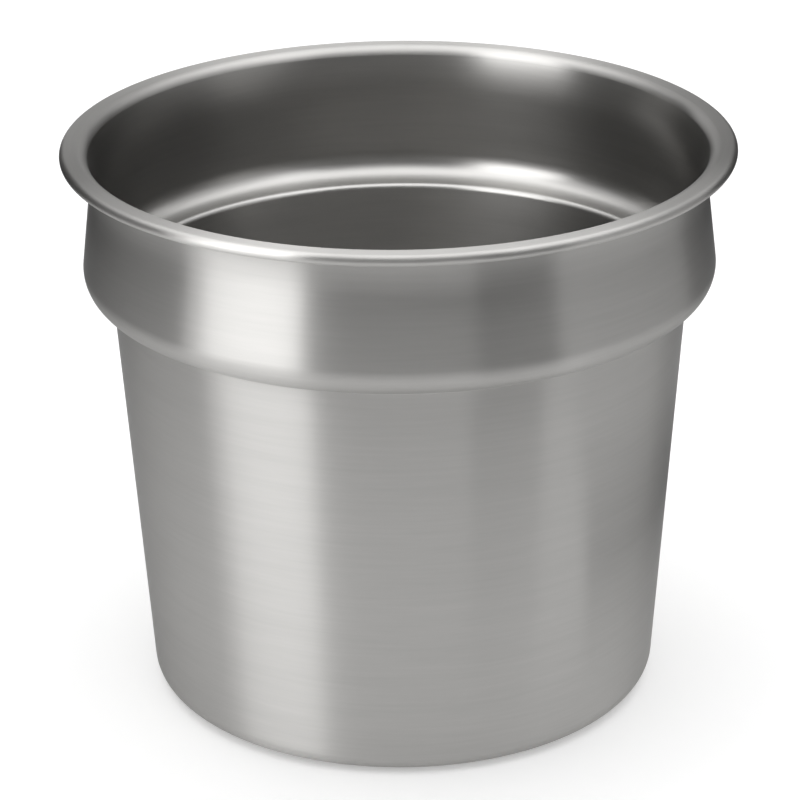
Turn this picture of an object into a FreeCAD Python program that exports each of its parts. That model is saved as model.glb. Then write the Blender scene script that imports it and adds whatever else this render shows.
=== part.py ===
"""Inset pot of a soup kettle: one disc of stainless sheet drawn into a stepped, tapered pot.

The sheet's section is one closed sketch, turned once about the pot's axis. The sketch's X is the
distance from the axis and its Y the height above the table. Lengths are in millimetres and angles in
degrees. The origin is the middle of the base's underside, with Z up along the axis.
"""

import FreeCAD, Part
import math
import os
import Sketcher
from FreeCAD import Vector

NODE = "inset_pot"

# Driving dimensions: alias, value and what it measures. Every bend radius is that of the bend's inside.
SIZES = (
    ("sheet_thickness", 0.8, "drawn stainless sheet"),
    ("overall_height", 205.4, "table to the lip's top face"),
    ("rim_overhang", 6.68, "how far the rim stands out beyond the band's widest level"),
    ("curl_radius", 1.2, "bend of the rolled edge"),
    ("curl_return", 2.0, "straight end of the rolled edge"),
    ("mouth_inset", 3.1, "how far the mouth lies inside the band's widest level"),
    ("lip_bend_radius", 3.2, "bend from the neck out to the lip"),
    ("neck_radius", 55.0, "wide bend that turns the band upright below the lip"),
    ("band_diameter", 226.64, "outside of the band at its widest level"),
    ("band_depth", 42.8, "lip's top face down to the band's widest level"),
    ("band_lean", 6.82, "lean of the band from upright, in degrees"),
    ("step_radius", 9.2, "quarter round from the band in to the wall"),
    ("crease_radius", 1.5, "tight bend from the step down to the wall"),
    ("wall_draft", 4.0, "lean of the wall from upright, in degrees"),
    ("base_corner_radius", 7.35, "bend from the wall to the base"),
)


def make_sizes(doc):
    """Fills the spreadsheet of driving dimensions and returns it."""
    sheet = doc.addObject("Spreadsheet::Sheet", "sizes")
    for row, (alias, value, meaning) in enumerate(SIZES, start=1):
        sheet.set(f"A{row}", alias)
        sheet.set(f"B{row}", str(value))
        sheet.set(f"C{row}", meaning)
        sheet.setAlias(f"B{row}", alias)
    doc.recompute()
    return sheet


def outward(direction):
    """The direction a quarter turn clockwise from the given one: out of the pot for a line that goes up."""
    return Vector(direction.y, -direction.x, 0)


def bend_points(sizes):
    """Works out where the section's bends lie.

    Returns the bends' centres and the directions out of the neck, the band, the wall and the crease.
    """
    rim_round = sizes.curl_radius + sizes.sheet_thickness
    step_outside = sizes.step_radius + sizes.sheet_thickness
    base_outside = sizes.base_corner_radius + sizes.sheet_thickness

    lean = math.radians(sizes.band_lean)
    widest = Vector(sizes.band_diameter / 2, sizes.overall_height - sizes.band_depth, 0)
    band_up = Vector(-math.sin(lean), math.cos(lean), 0)
    band_out = outward(band_up)
    step = widest - band_out * step_outside

    draft = math.radians(sizes.wall_draft)
    wall_up = Vector(math.sin(draft), math.cos(draft), 0)
    wall_out = outward(wall_up)
    wall_top = step - Vector(0, step_outside, 0)

    # The crease rolls on the wall's outside and touches the step's round from below.
    reach = step_outside + sizes.crease_radius
    start = wall_top + wall_out * sizes.crease_radius - step
    along = start.dot(wall_up)
    drop = -along - math.sqrt(along**2 - start.dot(start) + reach**2)
    crease = step + start + wall_up * drop

    base_reach = base_outside - wall_top.y
    base_x = wall_top.x - (base_outside + wall_out.y * base_reach) / wall_out.x

    lip_outside = sizes.sheet_thickness + sizes.lip_bend_radius
    lip = Vector(widest.x - sizes.mouth_inset + lip_outside, sizes.overall_height - lip_outside, 0)
    curl = Vector(widest.x + sizes.rim_overhang - rim_round, sizes.overall_height - rim_round, 0)

    # The neck rolls on the band's outside and holds the lip's bend within its round.
    spare = sizes.neck_radius - sizes.lip_bend_radius
    level = widest + band_out * sizes.neck_radius - lip
    along = level.dot(band_up)
    neck = lip + level - band_up * (along + math.sqrt(along**2 - level.dot(level) + spare**2))
    return {
        "base": Vector(base_x, base_outside, 0),
        "crease": crease,
        "step": step,
        "neck": neck,
        "lip": lip,
        "curl": curl,
        "wall_top": wall_top,
        "neck_out": (neck - lip).normalize(),
        "band_out": band_out,
        "wall_out": wall_out,
        "crease_out": (crease - step).normalize(),
    }


def face_points(sizes, bends, offset):
    """Corner points of one face of the sheet, from the axis to the end of the curl.

    offset is 0 for the face that is outside the pot and the sheet's thickness for the face inside it.
    """
    up = Vector(0, 1, 0)
    base_round = sizes.base_corner_radius + sizes.sheet_thickness - offset
    crease_round = sizes.crease_radius + offset
    step_round = sizes.step_radius + sizes.sheet_thickness - offset
    neck_round = sizes.neck_radius + offset
    lip_round = sizes.lip_bend_radius + offset
    curl_round = sizes.curl_radius + offset
    curl_end = bends["curl"] - up * curl_round
    return [
        Vector(0, offset, 0),
        bends["base"] - up * base_round,
        bends["base"] + bends["wall_out"] * base_round,
        bends["crease"] - bends["wall_out"] * crease_round,
        bends["step"] + bends["crease_out"] * step_round,
        bends["step"] + bends["band_out"] * step_round,
        bends["neck"] - bends["band_out"] * neck_round,
        bends["lip"] - bends["neck_out"] * lip_round,
        bends["lip"] + up * lip_round,
        bends["curl"] + up * curl_round,
        curl_end,
        curl_end - Vector(sizes.curl_return, 0, 0),
    ]


# One face of the sheet, in order: name, bend centre (None for a straight run) and whether the bend turns
# anticlockwise on the way from the axis to the curl.
RUNS = (
    ("base_flat", None, None),
    ("base_corner", "base", True),
    ("wall", None, None),
    ("crease", "crease", False),
    ("step", "step", True),
    ("band", None, None),
    ("neck", "neck", False),
    ("lip_bend", "lip", False),
    ("lip_flat", None, None),
    ("curl", "curl", False),
    ("curl_flat", None, None),
)
# The face that is on the inside of each bend, and the size that gives its radius.
INSIDE_OF_BENDS = (
    ("inner_base_corner", "base_corner_radius"),
    ("outer_crease", "crease_radius"),
    ("inner_step", "step_radius"),
    ("outer_neck", "neck_radius"),
    ("outer_lip_bend", "lip_bend_radius"),
    ("outer_curl", "curl_radius"),
)

# How a sketch numbers the points of its geometry, and its origin.
START, END, CENTRE = 1, 2, 3
ORIGIN, ORIGIN_POINT = -1, 1


def arc_between(centre, first, last):
    """An arc that runs anticlockwise about its centre from the first point to the last."""
    spoke = first - centre
    tail = last - centre
    circle = Part.Circle(centre, Vector(0, 0, 1), spoke.Length)
    return Part.ArcOfCircle(circle, math.atan2(spoke.y, spoke.x), math.atan2(tail.y, tail.x))


class Section:
    """The sheet's section: a sketch with its geometry by name."""

    def __init__(self, sketch):
        self.sketch = sketch
        self.index = {}
        self.ends = {}

    def add(self, name, shape, reverse=False):
        """Adds one piece of geometry. A reversed one is walked from its end to its start."""
        self.index[name] = self.sketch.addGeometry(shape, False)
        self.ends[name] = (END, START) if reverse else (START, END)

    def tie(self, kind, *references):
        """Adds a geometric constraint."""
        self.sketch.addConstraint(Sketcher.Constraint(kind, *references))

    def size(self, name, formula, kind, *references):
        """Adds a named dimension and binds it to a formula of the sheet's sizes."""
        value = self.sketch.evalExpression(formula)
        number = self.sketch.addConstraint(Sketcher.Constraint(kind, *references, value))
        self.sketch.renameConstraint(number, name)
        self.sketch.setExpression(f"Constraints.{name}", formula)

    def first(self, name):
        """The geometry and point where a run starts."""
        return self.index[name], self.ends[name][0]

    def last(self, name):
        """The geometry and point where a run stops."""
        return self.index[name], self.ends[name][1]


def draw_face(section, side, bends, points):
    """Draws one face of the sheet as lines and arcs that meet without a corner."""
    for number, (run, bend, anticlockwise) in enumerate(RUNS):
        name = f"{side}_{run}"
        before, after = points[number], points[number + 1]
        if bend is None:
            section.add(name, Part.LineSegment(before, after))
        elif anticlockwise:
            section.add(name, arc_between(bends[bend], before, after))
        else:
            section.add(name, arc_between(bends[bend], after, before), reverse=True)
    for (run, _, _), (following, _, _) in zip(RUNS, RUNS[1:]):
        section.tie("Tangent", *section.last(f"{side}_{run}"), *section.first(f"{side}_{following}"))
    for run in ("base_flat", "lip_flat", "curl_flat"):
        section.tie("Horizontal", section.index[f"{side}_{run}"])


def close_sheet(section, outer, inner):
    """Joins the two faces at the axis and at the end of the curl, and keeps them parallel."""
    section.add("axis_edge", Part.LineSegment(inner[0], outer[0]))
    section.add("cut_edge", Part.LineSegment(outer[-1], inner[-1]))
    section.tie("Coincident", *section.first("outer_base_flat"), ORIGIN, ORIGIN_POINT)
    section.tie("Coincident", *section.last("axis_edge"), *section.first("outer_base_flat"))
    section.tie("Coincident", *section.first("axis_edge"), *section.first("inner_base_flat"))
    section.tie("Coincident", *section.last("outer_curl_flat"), *section.first("cut_edge"))
    section.tie("Coincident", *section.last("inner_curl_flat"), *section.last("cut_edge"))
    section.tie("Vertical", section.index["axis_edge"])
    section.tie("Vertical", section.index["cut_edge"])
    for run, bend, _ in RUNS:
        if bend is not None:
            pair = (section.index[f"outer_{run}"], CENTRE, section.index[f"inner_{run}"], CENTRE)
            section.tie("Coincident", *pair)
    for run in ("wall", "band"):
        section.tie("Parallel", section.index[f"outer_{run}"], section.index[f"inner_{run}"])


def add_guide(section, bends):
    """Adds the guide point that the wall's place is measured at, straight below the step's centre."""
    section.add("wall_top", Part.Point(bends["wall_top"]))
    section.sketch.setConstruction(section.index["wall_top"], True)
    section.tie("PointOnObject", section.index["wall_top"], START, section.index["outer_wall"])
    section.tie("Vertical", section.index["wall_top"], START, section.index["outer_step"], CENTRE)


def size_section(section):
    """Binds every free dimension of the section to the spreadsheet."""
    origin = (ORIGIN, ORIGIN_POINT)
    wall_top = (section.index["wall_top"], START)
    step = (section.index["outer_step"], CENTRE)
    lip = (section.index["outer_lip_bend"], CENTRE)
    curl = (section.index["outer_curl"], CENTRE)
    widest = section.first("outer_band")
    widest_radius = "sizes.band_diameter / 2"
    lip_outside = "(sizes.lip_bend_radius + sizes.sheet_thickness)"
    rim_round = "(sizes.curl_radius + sizes.sheet_thickness)"

    section.size("sheet", "sizes.sheet_thickness", "Distance", section.index["axis_edge"])
    section.size("widest_radius", widest_radius, "DistanceX", *origin, *widest)
    section.size("widest_height", "sizes.overall_height - sizes.band_depth", "DistanceY", *origin, *widest)
    section.size("lip_from_axis", f"{widest_radius} - sizes.mouth_inset + {lip_outside}", "DistanceX",
                 *origin, *lip)
    section.size("curl_from_axis", f"{widest_radius} + sizes.rim_overhang - {rim_round}", "DistanceX",
                 *origin, *curl)
    section.size("curl_height", f"sizes.overall_height - {rim_round}", "DistanceY", *origin, *curl)
    section.size("step_drop", "sizes.step_radius + sizes.sheet_thickness", "DistanceY", *wall_top, *step)
    section.size("wall_angle", "90 deg - sizes.wall_draft * 1 deg", "Angle", section.index["outer_wall"])
    section.size("band_angle", "90 deg + sizes.band_lean * 1 deg", "Angle", section.index["outer_band"])
    section.size("turned_end", "sizes.curl_return", "Distance", section.index["outer_curl_flat"])
    for run, alias in INSIDE_OF_BENDS:
        section.size(f"{run}_radius", f"sizes.{alias}", "Radius", section.index[run])


def draw_section(body, sizes):
    """Draws the sheet's section on the body's upright plane and returns the sketch."""
    sketch = body.newObject("Sketcher::SketchObject", "sheet_section")
    plane = next(item for item in body.Origin.OriginFeatures if item.Role == "XZ_Plane")
    sketch.AttachmentSupport = [(plane, "")]
    sketch.MapMode = "FlatFace"

    section = Section(sketch)
    bends = bend_points(sizes)
    outer = face_points(sizes, bends, 0)
    inner = face_points(sizes, bends, sizes.sheet_thickness)
    draw_face(section, "outer", bends, outer)
    draw_face(section, "inner", bends, inner)
    close_sheet(section, outer, inner)
    add_guide(section, bends)
    size_section(section)
    return sketch


def turn_section(body, sketch):
    """Turns the section once about the pot's axis."""
    turned = body.newObject("PartDesign::Revolution", "drawn_sheet")
    turned.Profile = sketch
    turned.ReferenceAxis = (sketch, ["V_Axis"])
    turned.Angle = 360


def check_model(doc, bodies):
    """Stops if any object failed to compute or a sub-part's shape is not one sound solid."""
    failed = [item.Name for item in doc.Objects if {"Invalid", "Error"} & set(item.State)]
    if failed:
        raise RuntimeError(f"these objects did not compute: {failed}")
    for body in bodies:
        if body.Shape.isNull() or not body.Shape.isValid() or len(body.Shape.Solids) != 1:
            raise RuntimeError(f"{body.Label} is not one sound solid")


def main():
    """Builds the pot and writes its solid."""
    doc = FreeCAD.newDocument("soup_kettle_inset")
    sizes = make_sizes(doc)
    pot = doc.addObject("PartDesign::Body", NODE)
    pot.Label = NODE
    pot.Placement = FreeCAD.Placement()
    sketch = draw_section(pot, sizes)
    turn_section(pot, sketch)
    doc.recompute()
    check_model(doc, [pot])

    os.makedirs("parts", exist_ok=True)
    pot.Shape.exportStep(f"parts/{pot.Label}.step")
    print(pot.Label, "volume in mm3:", round(pot.Shape.Volume, 1))


main()
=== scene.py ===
"""Looks of a soup kettle's inset pot: one drawn sheet of satin stainless steel, in a white studio.

Lengths are in metres and angles in degrees. The frame is the part's own: the origin is the middle of the
base's underside, Z runs up the pot's axis, and the camera stands at the front, towards -Y.
"""

import logging
import math
from dataclasses import dataclass
from enum import Enum

import bmesh
import bpy
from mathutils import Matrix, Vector


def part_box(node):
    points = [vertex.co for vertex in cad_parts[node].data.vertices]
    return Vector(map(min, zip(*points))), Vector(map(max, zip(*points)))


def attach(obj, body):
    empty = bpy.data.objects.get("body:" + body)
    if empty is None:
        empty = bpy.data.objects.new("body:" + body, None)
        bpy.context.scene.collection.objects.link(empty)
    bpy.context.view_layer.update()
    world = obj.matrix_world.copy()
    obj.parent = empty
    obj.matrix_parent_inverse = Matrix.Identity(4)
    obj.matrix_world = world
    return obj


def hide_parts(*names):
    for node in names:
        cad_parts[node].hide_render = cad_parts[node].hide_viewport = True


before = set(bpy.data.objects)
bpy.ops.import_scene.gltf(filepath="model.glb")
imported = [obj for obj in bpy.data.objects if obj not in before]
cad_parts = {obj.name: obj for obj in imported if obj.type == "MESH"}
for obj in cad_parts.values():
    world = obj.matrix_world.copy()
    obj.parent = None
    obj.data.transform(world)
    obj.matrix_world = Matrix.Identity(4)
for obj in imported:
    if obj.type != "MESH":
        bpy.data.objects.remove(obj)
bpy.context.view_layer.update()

NODE = "inset_pot"
PIECE = "drawn_sheet"
BAKE_MAP = "OFBake"
MAP_MIDDLE = 0.5
MERGE_DISTANCE = 1e-6
UP = Vector((0, 1))
LOG = logging.getLogger("inset_pot")

Colour = tuple[float, float, float]
Point = tuple[float, float, float]
Inputs = dict[str | int, object]


class Turn(Enum):
    """The way a bend turns, seen with the radius to the right and the height up."""

    LEFT = 1
    RIGHT = -1


class Zone(Enum):
    """A stretch of the sheet's surface with a finish of its own; the value is its material slot."""

    OUTSIDE = 0
    INSIDE = 1
    LIP = 2
    BASE = 3


def outward(direction: Vector) -> Vector:
    """Turns a direction in the section's plane a quarter turn clockwise.

    Args:
        direction: the direction along the sheet, away from the axis.

    Returns:
        The direction out of the sheet's outer face.
    """
    return Vector((direction.y, -direction.x))


@dataclass(frozen=True)
class Stretch:
    """One straight run or bend of a face of the sheet, on the way from the axis to the curl's end.

    Attributes:
        end: where it ends, as radius and height.
        zone: the finish that its surface gets.
        pieces: how many straight edges it is drawn with.
        centre: the bend's centre, or None for a straight run.
        turn: the way the bend turns.
    """

    end: Vector
    zone: Zone
    pieces: int
    centre: Vector | None = None
    turn: Turn = Turn.LEFT


@dataclass
class SheetSection:
    """The drawn sheet's section. Every bend radius is that of the bend's inside.

    Attributes:
        height: table to the lip's top face.
        rim_radius: axis to the rim's outer edge.
        thickness: the sheet.
        rim_overhang: how far the rim stands out beyond the band's widest level.
        curl: bend of the rolled edge.
        curl_return: straight end of the rolled edge.
        mouth_inset: how far the mouth lies inside the band's widest level.
        lip_bend: bend from the neck out to the lip.
        neck: wide bend that turns the band upright below the lip.
        band_depth: lip's top face down to the band's widest level.
        band_lean: lean of the band from upright.
        step: quarter round from the band in to the wall.
        crease: tight bend from the step down to the wall.
        draft: lean of the wall from upright.
        base_corner: bend from the wall to the base.
    """

    height: float
    rim_radius: float
    thickness: float = 0.0008
    rim_overhang: float = 0.00668
    curl: float = 0.0012
    curl_return: float = 0.002
    mouth_inset: float = 0.0031
    lip_bend: float = 0.0032
    neck: float = 0.055
    band_depth: float = 0.0428
    band_lean: float = 6.82
    step: float = 0.0092
    crease: float = 0.0015
    draft: float = 4.0
    base_corner: float = 0.00735

    def __post_init__(self) -> None:
        """Works out the centres of the bends and the directions out of the neck, band, wall and crease."""
        step_outside = self.step + self.thickness
        base_outside = self.base_corner + self.thickness
        lip_outside = self.lip_bend + self.thickness
        rim_round = self.curl + self.thickness

        lean = math.radians(self.band_lean)
        widest = Vector((self.rim_radius - self.rim_overhang, self.height - self.band_depth))
        band_up = Vector((-math.sin(lean), math.cos(lean)))
        self.band_out = outward(band_up)
        self.step_centre = widest - self.band_out * step_outside

        draft = math.radians(self.draft)
        wall_up = Vector((math.sin(draft), math.cos(draft)))
        self.wall_out = outward(wall_up)
        wall_top = self.step_centre - UP * step_outside

        # The crease rolls on the wall's outside and touches the step's round from below.
        reach = step_outside + self.crease
        start = wall_top + self.wall_out * self.crease - self.step_centre
        along = start.dot(wall_up)
        drop = -along - math.sqrt(along**2 - start.dot(start) + reach**2)
        self.crease_centre = self.step_centre + start + wall_up * drop
        self.crease_out = (self.crease_centre - self.step_centre).normalized()

        base_reach = base_outside - wall_top.y
        base_x = wall_top.x - (base_outside + self.wall_out.y * base_reach) / self.wall_out.x
        self.base_centre = Vector((base_x, base_outside))
        self.lip_centre = Vector((widest.x - self.mouth_inset + lip_outside, self.height - lip_outside))
        self.curl_centre = Vector((self.rim_radius - rim_round, self.height - rim_round))

        # The neck rolls on the band's outside and holds the lip's bend within its round.
        spare = self.neck - self.lip_bend
        level = widest + self.band_out * self.neck - self.lip_centre
        along = level.dot(band_up)
        back = along + math.sqrt(along**2 - level.dot(level) + spare**2)
        self.neck_centre = self.lip_centre + level - band_up * back
        self.neck_out = (self.neck_centre - self.lip_centre).normalized()

    def face(self, depth: float, wall_zone: Zone, base_zone: Zone) -> list[Stretch]:
        """Lists the stretches of one face of the sheet, from the axis to the end of the curl.

        Args:
            depth: distance from the pot's outer face: 0 or the sheet's thickness.
            wall_zone: the finish from the base's corner up to the lip's bend.
            base_zone: the finish of the base's flat.

        Returns:
            The stretches in order.
        """
        base_round = self.base_corner + self.thickness - depth
        crease_round = self.crease + depth
        step_round = self.step + self.thickness - depth
        neck_round = self.neck + depth
        lip_round = self.lip_bend + depth
        curl_round = self.curl + depth
        base, crease, step = self.base_centre, self.crease_centre, self.step_centre
        neck, lip, curl = self.neck_centre, self.lip_centre, self.curl_centre
        curl_end = curl - UP * curl_round
        return_end = Vector((curl_end.x - self.curl_return, curl_end.y))
        left, right = Turn.LEFT, Turn.RIGHT
        return [
            Stretch(base - UP * base_round, base_zone, pieces=14),
            Stretch(base + self.wall_out * base_round, wall_zone, pieces=20, centre=base, turn=left),
            Stretch(crease - self.wall_out * crease_round, wall_zone, pieces=20),
            Stretch(step + self.crease_out * step_round, wall_zone, pieces=12, centre=crease, turn=right),
            Stretch(step + self.band_out * step_round, wall_zone, pieces=22, centre=step, turn=left),
            Stretch(neck - self.band_out * neck_round, wall_zone, pieces=7),
            Stretch(lip - self.neck_out * lip_round, wall_zone, pieces=10, centre=neck, turn=right),
            Stretch(lip + UP * lip_round, Zone.LIP, pieces=20, centre=lip, turn=right),
            Stretch(curl + UP * curl_round, Zone.LIP, pieces=4),
            Stretch(curl_end, Zone.LIP, pieces=16, centre=curl, turn=right),
            Stretch(return_end, Zone.LIP, pieces=2),
        ]


class SectionPen:
    """Draws a face of the sheet as a chain of edges in the plane y = 0 and marks its vertices.

    Every vertex is marked with the order of its stretch and its distance along the chain, which the turned
    mesh inherits.
    """

    def __init__(self, mesh: bmesh.types.BMesh) -> None:
        """Sets the pen to a mesh and adds the mesh's marks.

        Args:
            mesh: the mesh to draw in.
        """
        self.mesh = mesh
        self.order_mark = mesh.verts.layers.int.new("order")
        self.length_mark = mesh.verts.layers.float.new("length")
        self.zones: list[Zone] = []

    def draw(self, start: Vector, stretches: list[Stretch]) -> bmesh.types.BMVert:
        """Draws one face of the sheet.

        Args:
            start: where it starts, as radius and height.
            stretches: its stretches in order.

        Returns:
            The last vertex.
        """
        tip = bmesh.ops.create_vert(self.mesh, co=(start.x, 0, start.y))["vert"][0]
        tip[self.order_mark] = len(self.zones)
        for stretch in stretches:
            drawn = len(self.mesh.verts)
            last = self.bend(tip, stretch) if stretch.centre else self.run(tip, stretch)
            for vert in list(self.mesh.verts)[drawn:]:
                vert[self.order_mark] = len(self.zones)
                vert[self.length_mark] = tip[self.length_mark] + (vert.co - tip.co).length
                tip = vert
            tip = last
            self.zones.append(stretch.zone)
        return tip

    def run(self, tip: bmesh.types.BMVert, stretch: Stretch) -> bmesh.types.BMVert:
        """Draws a straight run.

        Args:
            tip: the vertex that it starts from.
            stretch: the run.

        Returns:
            Its last vertex.
        """
        step = (Vector((stretch.end.x, 0, stretch.end.y)) - tip.co) / stretch.pieces
        for _ in range(stretch.pieces):
            tip = bmesh.ops.extrude_vert_indiv(self.mesh, verts=[tip])["verts"][0]
            bmesh.ops.translate(self.mesh, verts=[tip], vec=step)
        return tip

    def bend(self, tip: bmesh.types.BMVert, stretch: Stretch) -> bmesh.types.BMVert:
        """Draws a bend.

        Args:
            tip: the vertex that it starts from.
            stretch: the bend.

        Returns:
            Its last vertex.
        """
        spoke = Vector((tip.co.x, tip.co.z)) - stretch.centre
        tail = stretch.end - stretch.centre
        turned = math.atan2(tail.y, tail.x) - math.atan2(spoke.y, spoke.x)
        swept = bmesh.ops.spin(
            self.mesh,
            geom=[tip],
            cent=(stretch.centre.x, 0, stretch.centre.y),
            axis=(0, -stretch.turn.value, 0),
            angle=(stretch.turn.value * turned) % math.tau,
            steps=stretch.pieces,
        )
        return next(item for item in swept["geom_last"] if isinstance(item, bmesh.types.BMVert))


class Wiring:
    """Adds nodes to one node tree and joins them up."""

    def __init__(self, tree: bpy.types.NodeTree) -> None:
        """Sets the wiring to a tree.

        Args:
            tree: the tree that the nodes go into.
        """
        self.tree = tree

    @classmethod
    def clean(cls, owner: bpy.types.Material | bpy.types.World) -> "Wiring":
        """Empties the node tree of a material or a world.

        Args:
            owner: the material or world.

        Returns:
            The wiring of its empty tree.
        """
        owner.use_nodes = True
        owner.node_tree.nodes.clear()
        return cls(owner.node_tree)

    def node(self, kind: str, inputs: Inputs | None = None, **settings: object) -> bpy.types.Node:
        """Adds a node.

        Args:
            kind: the node's type name.
            inputs: values for its input sockets, or sockets to link to them, by name or index.
            settings: values for the node's own properties.

        Returns:
            The node.
        """
        node = self.tree.nodes.new(kind)
        for name, value in settings.items():
            setattr(node, name, value)
        for key, value in (inputs or {}).items():
            self.feed(node.inputs[key], value)
        return node

    def feed(self, socket: bpy.types.NodeSocket, value: object) -> None:
        """Gives an input socket its value.

        Args:
            socket: the input socket.
            value: a value, or an output socket to link to it.
        """
        if isinstance(value, bpy.types.NodeSocket):
            self.tree.links.new(value, socket)
        else:
            socket.default_value = value

    def math(self, operation: str, first: object, second: object) -> bpy.types.NodeSocket:
        """Works out one number from two.

        Args:
            operation: the Math node's operation.
            first: a number or a socket.
            second: a number or a socket.

        Returns:
            The result.
        """
        return self.node("ShaderNodeMath", {0: first, 1: second}, operation=operation).outputs[0]

    def weigh(self, first: object, second: object, share: float) -> bpy.types.NodeSocket:
        """Takes the weighted mean of two numbers.

        Args:
            first: a number or a socket.
            second: a number or a socket.
            share: the weight of the first, from 0 to 1; the second has the rest.

        Returns:
            The mean.
        """
        main_part = self.math("MULTIPLY", first, share)
        rest = self.math("MULTIPLY", second, 1 - share)
        return self.math("ADD", main_part, rest)

    def spread(self, value: object, low: float, high: float) -> bpy.types.NodeSocket:
        """Maps a number from 0 to 1 onto a range.

        Args:
            value: a number or a socket.
            low: what 0 becomes.
            high: what 1 becomes.

        Returns:
            The mapped number.
        """
        ranged = self.node("ShaderNodeMapRange", {"Value": value, "To Min": low, "To Max": high})
        return ranged.outputs["Result"]

    def blend(self, factor: object, first: object, second: object) -> bpy.types.NodeSocket:
        """Mixes two colours.

        Args:
            factor: how much of the second colour there is, from 0 to 1.
            first: a colour or a socket.
            second: a colour or a socket.

        Returns:
            The mixed colour.
        """
        inputs = {"Factor_Float": factor, "A_Color": first, "B_Color": second}
        mix = self.node("ShaderNodeMix", data_type="RGBA")
        for socket in mix.inputs:
            if socket.identifier in inputs:
                self.feed(socket, inputs[socket.identifier])
        return next(socket for socket in mix.outputs if socket.identifier == "Result_Color")

    def seen(self) -> bpy.types.NodeSocket:
        """Tells what the camera sees from what only lights the scene.

        Returns:
            1 where the camera sees something, straight, in a reflection or through glass, else 0.
        """
        path = self.node("ShaderNodeLightPath").outputs
        seen = self.math("MAXIMUM", path["Is Camera Ray"], path["Is Glossy Ray"])
        return self.math("MAXIMUM", seen, path["Is Transmission Ray"])


class BrushLines:
    """Node group of the fine lines that a belt leaves when the pot turns under it.

    The lines run round the axis. Each is a little uneven along its length, and they have no seam, because
    the pattern is read on a circle round the axis and on the distance along the pot's section.
    """

    NAME = "brush_lines"
    INPUTS = {"Place": "Vector", "Around": "Float", "Pitch": "Float", "Shift": "Float"}
    SMALLEST_RADIUS = 0.0005
    NOISE_DETAIL = 2.0
    NOISE_ROUGHNESS = 0.6

    @classmethod
    def group(cls) -> bpy.types.NodeTree:
        """Gives the group, which is built at the first call.

        Returns:
            The group.
        """
        return bpy.data.node_groups.get(cls.NAME) or cls.build()

    @classmethod
    def build(cls) -> bpy.types.NodeTree:
        """Builds the group.

        Returns:
            The group.
        """
        tree = bpy.data.node_groups.new(cls.NAME, "ShaderNodeTree")
        for name, kind in cls.INPUTS.items():
            tree.interface.new_socket(name, in_out="INPUT", socket_type=f"NodeSocket{kind}")
        tree.interface.new_socket("Lines", in_out="OUTPUT", socket_type="NodeSocketFloat")

        wiring = Wiring(tree)
        given = wiring.node("NodeGroupInput").outputs
        place = wiring.node("ShaderNodeSeparateXYZ", {"Vector": given["Place"]}).outputs
        flat = wiring.node("ShaderNodeCombineXYZ", {"X": place["X"], "Y": place["Y"]}).outputs[0]
        length = wiring.node("ShaderNodeVectorMath", {0: flat}, operation="LENGTH").outputs["Value"]
        radius = wiring.math("MAXIMUM", length, cls.SMALLEST_RADIUS)
        size = wiring.math("DIVIDE", given["Around"], radius)
        across = wiring.math("ADD", wiring.math("ADD", place["Z"], radius), given["Shift"])
        circle = wiring.node("ShaderNodeCombineXYZ", {
            "X": wiring.math("MULTIPLY", place["X"], size),
            "Y": wiring.math("MULTIPLY", place["Y"], size),
            "Z": wiring.math("DIVIDE", across, given["Pitch"]),
        }).outputs[0]
        noise = wiring.node("ShaderNodeTexNoise", {
            "Vector": circle,
            "Scale": 1.0,
            "Detail": cls.NOISE_DETAIL,
            "Roughness": cls.NOISE_ROUGHNESS,
        })
        wiring.node("NodeGroupOutput", {"Lines": noise.outputs["Fac"]})
        return tree


class LineSize(Enum):
    """A size of brush line: streaks in one radian round the pot, and pitch as a multiple of the finest."""

    FINE = (9.0, 1)
    CLEAR = (3.0, 5)
    BROAD = (1.2, 30)


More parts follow.
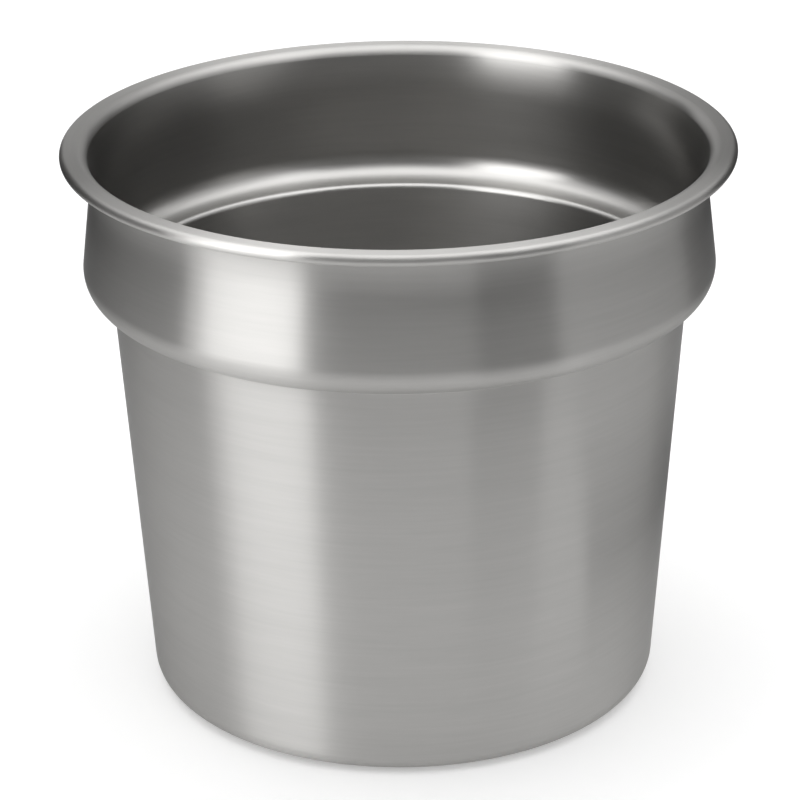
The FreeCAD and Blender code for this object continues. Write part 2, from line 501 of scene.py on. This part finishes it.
@dataclass(frozen=True)
class BrushedSteel:
    """Satin stainless steel, brushed round the pot's axis.

    Attributes:
        name: the material's name.
        colour: the metal's colour, linear; where a finish has it lighter than the rest of the same steel,
            as on the lip, the extra is a painted highlight.
        edge_tint: how much of the gloss is left at grazing angles, where the brush lines hide each other.
        roughness: the mean roughness.
        roughness_swing: how far the lines move the roughness either way.
        anisotropy: how much longer the gloss is across the lines than along them.
        gloss_turn: turns the gloss from along the lines to across them, as a share of a full turn.
        tone_swing: how far the streaks move the tone either way, as a share of the colour.
        finer_share: weight of the finer of two line sizes where they are laid over each other.
        line_pitch: distance between the fine lines.
        line_height: depth of the lines that are large enough to see.
        shift: moves the pattern along the section, so that no two finishes line up.
    """

    name: str
    colour: Colour = (0.47, 0.464, 0.453)
    edge_tint: Colour = (0.5, 0.5, 0.5)
    roughness: float = 0.37
    roughness_swing: float = 0.05
    anisotropy: float = 0.97
    gloss_turn: float = 0.25
    tone_swing: float = 0.10
    finer_share: float = 0.6
    line_pitch: float = 0.0003
    line_height: float = 0.000004
    shift: float = 0.0

    def lines(self, wiring: Wiring, size: LineSize) -> bpy.types.NodeSocket:
        """Places the brush lines of one size in a material.

        Args:
            wiring: the material's nodes.
            size: the lines' size.

        Returns:
            The lines, from 0 to 1.
        """
        around, multiple = size.value
        group = wiring.node("ShaderNodeGroup", node_tree=BrushLines.group())
        place = wiring.node("ShaderNodeTexCoord").outputs["Object"]
        wiring.feed(group.inputs["Place"], place)
        wiring.feed(group.inputs["Around"], around)
        wiring.feed(group.inputs["Pitch"], self.line_pitch * multiple)
        wiring.feed(group.inputs["Shift"], self.shift)
        return group.outputs["Lines"]

    def tone(self, swing: float) -> tuple[float, float, float, float]:
        """Makes a lighter or darker tone of the colour.

        Args:
            swing: how much lighter it is, as a share of the colour.

        Returns:
            The tone, as red, green, blue and alpha.
        """
        red, green, blue = (channel * (1 + swing) for channel in self.colour)
        return red, green, blue, 1.0

    def material(self) -> bpy.types.Material:
        """Builds the material.

        Returns:
            The material.
        """
        material = bpy.data.materials.new(self.name)
        wiring = Wiring.clean(material)
        fine = self.lines(wiring, LineSize.FINE)
        clear = self.lines(wiring, LineSize.CLEAR)
        broad = self.lines(wiring, LineSize.BROAD)

        streaks = wiring.weigh(clear, broad, self.finer_share)
        grain = wiring.weigh(fine, clear, self.finer_share)
        smoothest = self.roughness - self.roughness_swing
        roughest = self.roughness + self.roughness_swing
        bump = wiring.node("ShaderNodeBump", {
            "Height": clear,
            "Distance": self.line_height,
            "Strength": 1.0,
        })
        tangent = wiring.node("ShaderNodeTangent", direction_type="RADIAL", axis="Z")
        steel = wiring.node("ShaderNodeBsdfPrincipled", {
            "Base Color": wiring.blend(streaks, self.tone(-self.tone_swing), self.tone(self.tone_swing)),
            "Metallic": 1.0,
            "Roughness": wiring.spread(grain, smoothest, roughest),
            "Specular Tint": self.edge_tint + (1.0,),
            "Anisotropic": self.anisotropy,
            "Anisotropic Rotation": self.gloss_turn,
            "Normal": bump.outputs["Normal"],
            "Tangent": tangent.outputs["Tangent"],
        })
        wiring.node("ShaderNodeOutputMaterial", {"Surface": steel.outputs["BSDF"]})
        return material


def add_object(name: str, mesh: bmesh.types.BMesh) -> bpy.types.Object:
    """Puts a finished mesh into the scene and frees it.

    Args:
        name: the object's name.
        mesh: its shape.

    Returns:
        The object.
    """
    data = bpy.data.meshes.new(name)
    mesh.to_mesh(data)
    mesh.free()
    item = bpy.data.objects.new(name, data)
    bpy.context.scene.collection.objects.link(item)
    return item


@dataclass
class InsetPot:
    """The pot: one sheet, turned about its axis and finished zone by zone.

    Attributes:
        section: the sheet's section.
        steps_around: how many flat facets go round the pot.
        sharp_angle: an edge between faces that turn by this much or more stays sharp.
    """

    section: SheetSection
    steps_around: int = 240
    sharp_angle: float = 40.0

    def build(self) -> bpy.types.Object:
        """Turns the section into the pot's mesh.

        Returns:
            The pot's object.
        """
        mesh = bmesh.new()
        pen = SectionPen(mesh)
        thickness = self.section.thickness
        outside = pen.draw(Vector((0, 0)), self.section.face(0, Zone.OUTSIDE, Zone.BASE))
        inside = pen.draw(Vector((0, thickness)), self.section.face(thickness, Zone.INSIDE, Zone.INSIDE))
        total = outside[pen.length_mark] + inside[pen.length_mark]
        bmesh.ops.contextual_create(mesh, geom=[outside, inside])
        bmesh.ops.spin(
            mesh,
            geom=mesh.verts[:] + mesh.edges[:],
            cent=(0, 0, 0),
            axis=(0, 0, 1),
            angle=math.tau,
            steps=self.steps_around,
            use_merge=True,
        )
        bmesh.ops.remove_doubles(mesh, verts=mesh.verts, dist=MERGE_DISTANCE)
        bmesh.ops.recalc_face_normals(mesh, faces=mesh.faces)
        self.mark_faces(mesh, pen)
        self.lay_map(mesh, pen, total)
        return add_object(PIECE, mesh)

    def mark_faces(self, mesh: bmesh.types.BMesh, pen: SectionPen) -> None:
        """Gives every face its zone and a smooth look, with the cut edge of the curl left sharp.

        Args:
            mesh: the pot.
            pen: the pen that drew its section.
        """
        for face in mesh.faces:
            face.smooth = True
            order = max(vert[pen.order_mark] for vert in face.verts)
            face.material_index = pen.zones[order].value
        for edge in mesh.edges:
            edge.smooth = edge.calc_face_angle(0) < math.radians(self.sharp_angle)

    def lay_map(self, mesh: bmesh.types.BMesh, pen: SectionPen, total: float) -> None:
        """Unrolls the pot: across for the angle round the axis, up for the way along the section.

        Args:
            mesh: the pot.
            pen: the pen that drew its section.
            total: length of the section's two faces together.
        """
        unrolled = mesh.loops.layers.uv.new(BAKE_MAP)
        inner_start = len(pen.zones) // 2
        for face in mesh.faces:
            middle = face.calc_center_median()
            around = math.atan2(middle.y, middle.x)
            for loop in face.loops:
                vert = loop.vert
                on_axis = vert.co.xy.length <= MERGE_DISTANCE
                angle = around if on_axis else math.atan2(vert.co.y, vert.co.x)
                angle += math.tau * round((around - angle) / math.tau)
                along = vert[pen.length_mark] / total
                if vert[pen.order_mark] >= inner_start:
                    along = 1 - along
                loop[unrolled].uv = (MAP_MIDDLE + angle / math.tau, along)

    def dress(self, pot: bpy.types.Object) -> None:
        """Gives each zone its finish.

        Args:
            pot: the pot's object.
        """
        finishes = {
            Zone.OUTSIDE: BrushedSteel("satin_outside"),
            Zone.INSIDE: BrushedSteel(
                "satin_inside",
                roughness=0.31,
                roughness_swing=0.03,
                anisotropy=0.75,
                shift=0.7,
            ),
            # The lip's colour is lighter than the rest of the same steel: a painted highlight that
            # brightens the lip's glint.
            Zone.LIP: BrushedSteel("satin_lip_painted_highlight", colour=(0.52, 0.513, 0.501), shift=1.3),
            Zone.BASE: BrushedSteel("satin_base", shift=1.9),
        }
        for zone in Zone:
            pot.data.materials.append(finishes[zone].material())
            LOG.info("finish %s on %s", finishes[zone].name, zone.name.lower())


def from_front(azimuth: float) -> Vector:
    """Finds a level direction from the pot.

    Args:
        azimuth: its angle from the camera's side of the pot, positive to the right.

    Returns:
        The direction, with a length of 1.
    """
    turned = math.radians(azimuth)
    return Vector((math.sin(turned), -math.cos(turned), 0))


@dataclass(frozen=True)
class Softbox:
    """A studio softbox: an even, rectangular light.

    Attributes:
        name: its name.
        place: its middle.
        aim: the point that it faces.
        width: its width.
        tall: its other side.
        power: watts for each square metre of it.
        lights_floor: whether it lights matt things too, or only shows in the metal.
    """

    name: str
    place: Vector
    aim: Vector
    width: float
    tall: float
    power: float
    lights_floor: bool = True

    def build(self) -> None:
        """Adds the light."""
        light = bpy.data.lights.new(self.name, "AREA")
        light.shape = "RECTANGLE"
        light.size = self.width
        light.size_y = self.tall
        light.energy = self.width * self.tall * self.power
        lamp = bpy.data.objects.new(self.name, light)
        lamp.location = self.place
        lamp.rotation_euler = (self.aim - self.place).to_track_quat("-Z", "Y").to_euler()
        lamp.visible_camera = False
        lamp.visible_diffuse = self.lights_floor
        bpy.context.scene.collection.objects.link(lamp)


@dataclass(frozen=True)
class Flag:
    """A curved grey card round the pot, which the metal reflects and nothing else sees.

    Attributes:
        name: its name.
        start: azimuth of its left edge.
        end: azimuth of its right edge.
        tone: its grey, linear.
        bottom: height of its lower edge.
        top: height of its upper edge.
        radius: distance from the axis.
        facet: about how far round one flat facet of it goes.
    """

    name: str
    start: float
    end: float
    tone: float
    bottom: float = 0.01
    top: float = 0.9
    radius: float = 0.55
    facet: float = 3.0

    def build(self) -> bpy.types.Object:
        """Adds the card.

        Returns:
            The card.
        """
        mesh = bmesh.new()
        corner = from_front(self.start) * self.radius
        foot = bmesh.ops.create_vert(mesh, co=(corner.x, corner.y, self.bottom))["vert"]
        bmesh.ops.translate(
            mesh,
            verts=bmesh.ops.extrude_vert_indiv(mesh, verts=foot)["verts"],
            vec=(0, 0, self.top - self.bottom),
        )
        bmesh.ops.spin(
            mesh,
            geom=mesh.verts[:] + mesh.edges[:],
            cent=(0, 0, 0),
            axis=(0, 0, 1),
            angle=math.radians(self.end - self.start),
            steps=int((self.end - self.start) / self.facet),
        )
        card = add_object(self.name, mesh)
        card.data.materials.append(self.material())
        card.visible_camera = False
        card.visible_diffuse = False
        card.visible_transmission = False
        card.visible_shadow = False
        return card

    def material(self) -> bpy.types.Material:
        """Makes the card's even grey glow.

        Returns:
            The material.
        """
        material = bpy.data.materials.new(self.name)
        wiring = Wiring.clean(material)
        grey = (self.tone, self.tone, self.tone, 1.0)
        glow = wiring.node("ShaderNodeEmission", {"Color": grey, "Strength": 1.0})
        wiring.node("ShaderNodeOutputMaterial", {"Surface": glow.outputs["Emission"]})
        return material


@dataclass
class Studio:
    """The white studio: a pale floor, softboxes, grey cards and the camera.

    Attributes:
        floor_radius: size of the round floor.
        floor_sides: how many straight sides the floor's edge has.
        floor_gap: how far the floor lies below the pot.
        floor_colour: the floor's own colour, linear.
        floor_lift: glow that the floor shows to the camera and in the metal, and that lights nothing.
        ambient: brightness of the backdrop as a light on matt things.
        camera_place: where the camera stands.
        camera_tilt: how far it is tilted up from looking straight down.
        camera_roll: how far it is rolled about its line of sight.
        camera_lens: its focal length in millimetres.
    """

    floor_radius: float = 6.0
    floor_sides: int = 96
    floor_gap: float = 0.0003
    floor_colour: Colour = (0.86, 0.86, 0.86)
    floor_lift: float = 0.27
    ambient: float = 0.62
    camera_place: Point = (-0.00035, -1.10855, 0.57676)
    camera_tilt: float = 66.92
    camera_roll: float = -0.58
    camera_lens: float = 147.92

    def build(self) -> None:
        """Builds everything in the studio."""
        self.lay_floor()
        self.light_world()
        self.hang_lights()
        self.stand_flags()
        self.place_camera()
        bpy.context.scene.view_settings.view_transform = "Standard"

    def lay_floor(self) -> None:
        """Lays the pale floor just under the pot."""
        mesh = bmesh.new()
        bmesh.ops.create_circle(mesh, cap_ends=True, segments=self.floor_sides, radius=self.floor_radius)
        bmesh.ops.translate(mesh, verts=mesh.verts, vec=(0, 0, -self.floor_gap))
        floor = add_object("floor", mesh)
        material = bpy.data.materials.new("pale_floor")
        wiring = Wiring.clean(material)
        matt = wiring.node("ShaderNodeBsdfDiffuse", {"Color": self.floor_colour + (1.0,)})
        lift = wiring.math("MULTIPLY", wiring.seen(), self.floor_lift)
        glow = wiring.node("ShaderNodeEmission", {"Strength": lift})
        both = wiring.node("ShaderNodeAddShader", {0: matt.outputs["BSDF"], 1: glow.outputs["Emission"]})
        wiring.node("ShaderNodeOutputMaterial", {"Surface": both.outputs["Shader"]})
        floor.data.materials.append(material)
        LOG.info("floor laid")

    def light_world(self) -> None:
        """Sets a white backdrop that the camera and the metal see, and a soft ambient light."""
        world = bpy.data.worlds.new("white_studio")
        bpy.context.scene.world = world
        wiring = Wiring.clean(world)
        strength = wiring.spread(wiring.seen(), self.ambient, 1.0)
        glow = wiring.node("ShaderNodeBackground", {"Color": (1.0, 1.0, 1.0, 1.0), "Strength": strength})
        wiring.node("ShaderNodeOutputWorld", {"Surface": glow.outputs["Background"]})

    def hang_lights(self) -> None:
        """Hangs the softboxes: one at the left that draws the light bar on the metal, and one overhead."""
        key_aim = Vector((0, 0, 0.75))
        key_azimuth = -52
        key_distance = 1.3
        softboxes = (
            Softbox(
                "key_softbox",
                place=from_front(key_azimuth) * key_distance + key_aim,
                aim=key_aim,
                width=0.84,
                tall=1.4,
                power=7.0,
                lights_floor=False,
            ),
            Softbox(
                "top_softbox",
                place=Vector((0, 0, 1.6)),
                aim=Vector((0, 0, 0.1)),
                width=2.4,
                tall=2.4,
                power=3.8,
            ),
        )
        for softbox in softboxes:
            softbox.build()
            LOG.info("light %s", softbox.name)

    def stand_flags(self) -> None:
        """Stands the grey cards that give the metal its dark stretches."""
        flags = (
            Flag("left_flag", start=-150, end=-73, tone=0.07, top=0.47),
            Flag("front_flag", start=-30, end=40, tone=0.11),
            Flag("front_right_flag", start=24, end=50, tone=0.07, top=0.5, radius=0.40),
            Flag("right_flag", start=50, end=112, tone=0.32, top=0.5),
            Flag("far_right_flag", start=112, end=170, tone=0.07, top=0.4),
            # A low grey card by the pot's right foot, which only the metal sees: painted shade in the
            # wall's reflection, in place of the pot's shadow on the floor there.
            Flag("low_right_shadow_flag", start=62, end=150, tone=0.60, top=0.06, radius=0.18),
            Flag("back_flag", start=150, end=210, tone=0.70, bottom=0.25),
        )
        for flag in flags:
            flag.build()
            LOG.info("flag %s", flag.name)

    def place_camera(self) -> None:
        """Places the camera at the photograph's viewing angle."""
        data = bpy.data.cameras.new("camera")
        data.lens = self.camera_lens
        camera = bpy.data.objects.new("camera", data)
        camera.location = self.camera_place
        camera.rotation_mode = "ZYX"
        camera.rotation_euler = (math.radians(self.camera_tilt), 0, math.radians(self.camera_roll))
        bpy.context.scene.collection.objects.link(camera)
        bpy.context.scene.camera = camera


def main() -> None:
    """Builds the pot on its CAD node's place, dresses it and sets up the studio."""
    logging.basicConfig(level=logging.INFO, format="%(name)s: %(message)s")
    LOG.info("frame with %d nodes", len(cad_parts))
    low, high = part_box(NODE)
    pot = InsetPot(SheetSection(height=high.z - low.z, rim_radius=(high.x - low.x) / 2))
    sheet = pot.build()
    pot.dress(sheet)
    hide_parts(NODE)
    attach(sheet, "root")
    LOG.info("piece %s with %d faces", sheet.name, len(sheet.data.polygons))
    Studio().build()


if __name__ == "__main__":
    main()
